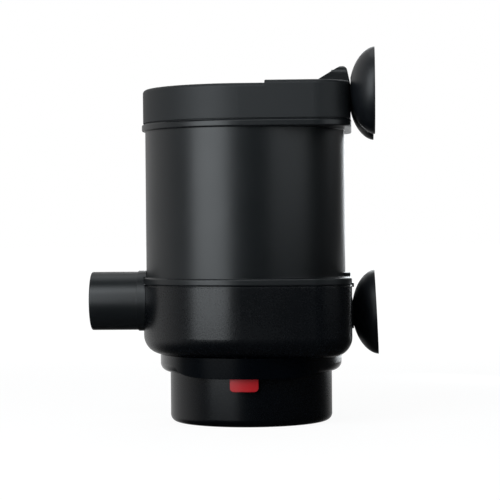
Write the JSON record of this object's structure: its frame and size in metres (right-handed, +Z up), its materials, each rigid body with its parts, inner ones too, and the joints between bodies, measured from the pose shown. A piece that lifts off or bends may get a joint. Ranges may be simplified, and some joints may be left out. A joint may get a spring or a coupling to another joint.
{
  "type": "sous vide circulator",
  "caption": "Compact black submersible water circulator held by suction cups, with a side outlet nozzle, a red flow tab and a lift-off intake cap.",
  "frame": {"origin": "centre of the intake cap's flat base", "axes": "+Z up along the intake cap's axis, +X towards the pot's wall that the suction cups hold, -X along the outlet nozzle, -Y on the side of the red flow tab"},
  "size_m": [0.1149, 0.0848, 0.1463],
  "materials": {
    "shell_plastic": "fine satin moulded plastic",
    "bowl_plastic": "fine-grained moulded plastic",
    "cap_plastic": "smooth glossy moulded plastic",
    "tab_plastic": "smooth red moulded plastic",
    "white_plastic": "smooth engineering plastic",
    "cup_rubber": "smooth soft rubber",
    "seal_rubber": "smooth rubber",
    "lens": "polished smoked lens",
    "stainless": "satin stainless steel",
    "can_steel": "drawn stainless steel",
    "core_steel": "stacked laminations",
    "magnet": "ground ferrite",
    "bearing_carbon": "carbon graphite",
    "winding": "enamelled copper wire",
    "board": "solder-masked circuit board",
    "components": "moulded component cases"
  },
  "bodies": {
    "shell": {"pod_housing": "shell_plastic", "top_lid": "shell_plastic", "lid_seal": "seal_rubber", "lid_screws": "stainless", "cord_hood": "shell_plastic", "cord_grommet": "seal_rubber", "display_lens": "lens", "display_module": "components", "control_board": "board", "key_switches": "stainless", "power_board": "board", "power_parts": "components", "motor_can": "can_steel", "stator_core": "core_steel", "stator_coils": "winding", "upper_bearing": "bearing_carbon", "lower_bearing": "bearing_carbon", "thrust_washers": "white_plastic", "thermal_cutout": "components", "heater_coil": "stainless", "heater_seals": "seal_rubber", "temperature_probe": "stainless", "pump_bowl": "bowl_plastic", "bowl_seal": "seal_rubber", "bowl_screws": "stainless", "intake_spigot": "bowl_plastic", "eye_plate": "bowl_plastic", "outlet_nozzle": "shell_plastic", "nozzle_seal": "seal_rubber", "collar": "shell_plastic", "cap_seal": "seal_rubber", "cup_upper_left": "cup_rubber", "cup_upper_right": "cup_rubber", "cup_lower": "cup_rubber"},
    "rotor": {"rotor_magnet": "magnet", "shaft": "stainless", "impeller": "white_plastic"},
    "slider": {"flow_slider": "tab_plastic"},
    "cap": {"intake_cap": "cap_plastic", "strainer": "stainless"},
    "minus_key": {"key_minus": "shell_plastic"},
    "power_key": {"key_power": "shell_plastic"},
    "plus_key": {"key_plus": "shell_plastic"}
  },
  "joints": [
    {"name": "rotor_spin", "type": "hinge", "parent": "shell", "child": "rotor", "pos_m": [-0.0018, 0, 0.075], "axis": [0, 0, 1], "continuous": true},
    {"name": "slider_turn", "type": "hinge", "parent": "shell", "child": "slider", "pos_m": [0, 0, 0.024], "axis": [0, 0, 1], "range_deg": [-22, 22]},
    {"name": "cap_pull", "type": "slide", "parent": "shell", "child": "cap", "axis": [0, 0, -1], "range_m": [0, 0.032]},
    {"name": "minus_key_press", "type": "slide", "parent": "shell", "child": "minus_key", "axis": [0, 0, -1], "range_m": [0, 0.0008], "stiffness_N_per_m": 300, "springref_m": -0.0005},
    {"name": "power_key_press", "type": "slide", "parent": "shell", "child": "power_key", "axis": [0, 0, -1], "range_m": [0, 0.0008], "stiffness_N_per_m": 300, "springref_m": -0.0005},
    {"name": "plus_key_press", "type": "slide", "parent": "shell", "child": "plus_key", "axis": [0, 0, -1], "range_m": [0, 0.0008], "stiffness_N_per_m": 300, "springref_m": -0.0005}
  ]
}
